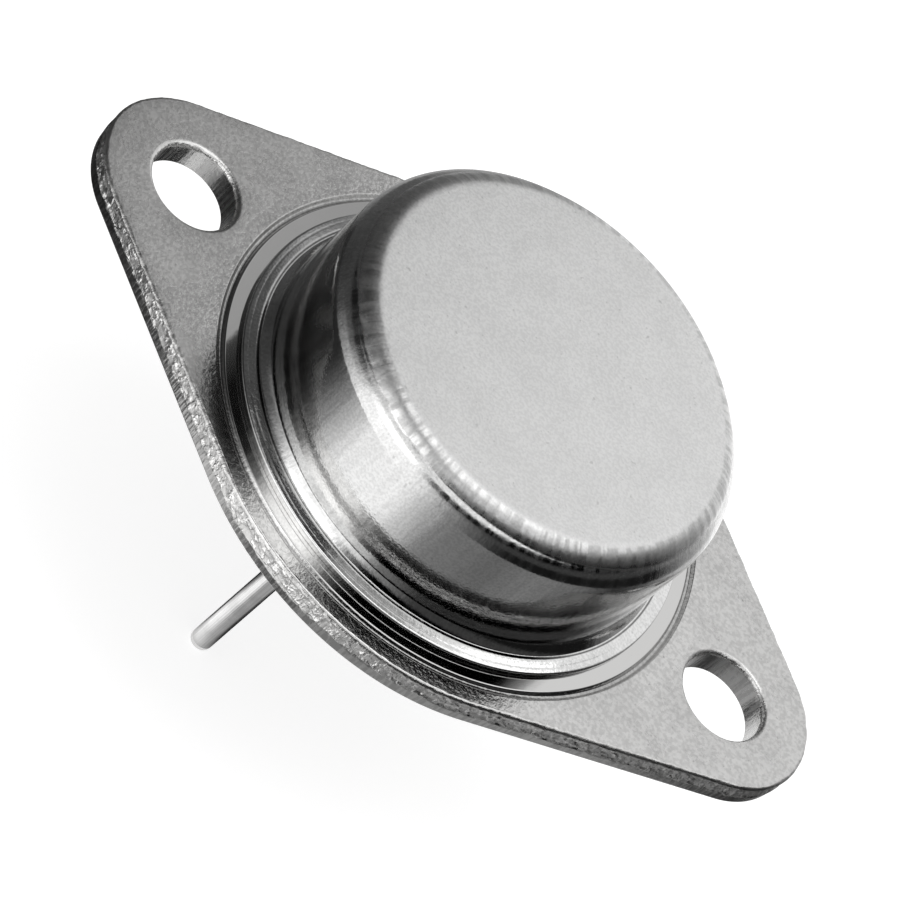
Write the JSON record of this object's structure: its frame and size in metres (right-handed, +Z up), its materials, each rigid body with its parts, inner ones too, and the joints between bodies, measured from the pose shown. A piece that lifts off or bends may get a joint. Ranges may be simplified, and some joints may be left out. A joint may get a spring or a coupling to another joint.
{
  "type": "power transistor",
  "caption": "Power transistor in an oval metal package: steel flange with screw holes, welded round cap and glass-sealed leads, with chip, heat spreader and bond wires inside.",
  "frame": {"origin": "on the cap's axis, at the underside of the flange, midway between the mounting holes", "axes": "+X along the line through both mounting holes, away from the leads' side; +Z up through the cap, along its axis; the leads point along -Z"},
  "size_m": [0.0388, 0.0252, 0.0201],
  "materials": {
    "flange_nickel_plate": "satin nickel plate",
    "cap_nickel_plate": "bright nickel plate, faintly speckled",
    "seal_glass": "dark sealing glass",
    "lead_plate": "bright nickel plate",
    "braze": "matt metal",
    "copper": "satin copper",
    "solder": "matt metal",
    "silicon": "polished silicon",
    "bond_wire": "drawn wire"
  },
  "bodies": {
    "root": {"flange": "flange_nickel_plate", "cap": "cap_nickel_plate", "base_glass_seal": "seal_glass", "emitter_glass_seal": "seal_glass", "base_lead": "lead_plate", "emitter_lead": "lead_plate", "spreader_braze": "braze", "heat_spreader": "copper", "die_solder": "solder", "silicon_die": "silicon", "emitter_wire_1": "bond_wire", "emitter_wire_2": "bond_wire", "base_wire": "bond_wire"}
  },
  "joints": []
}
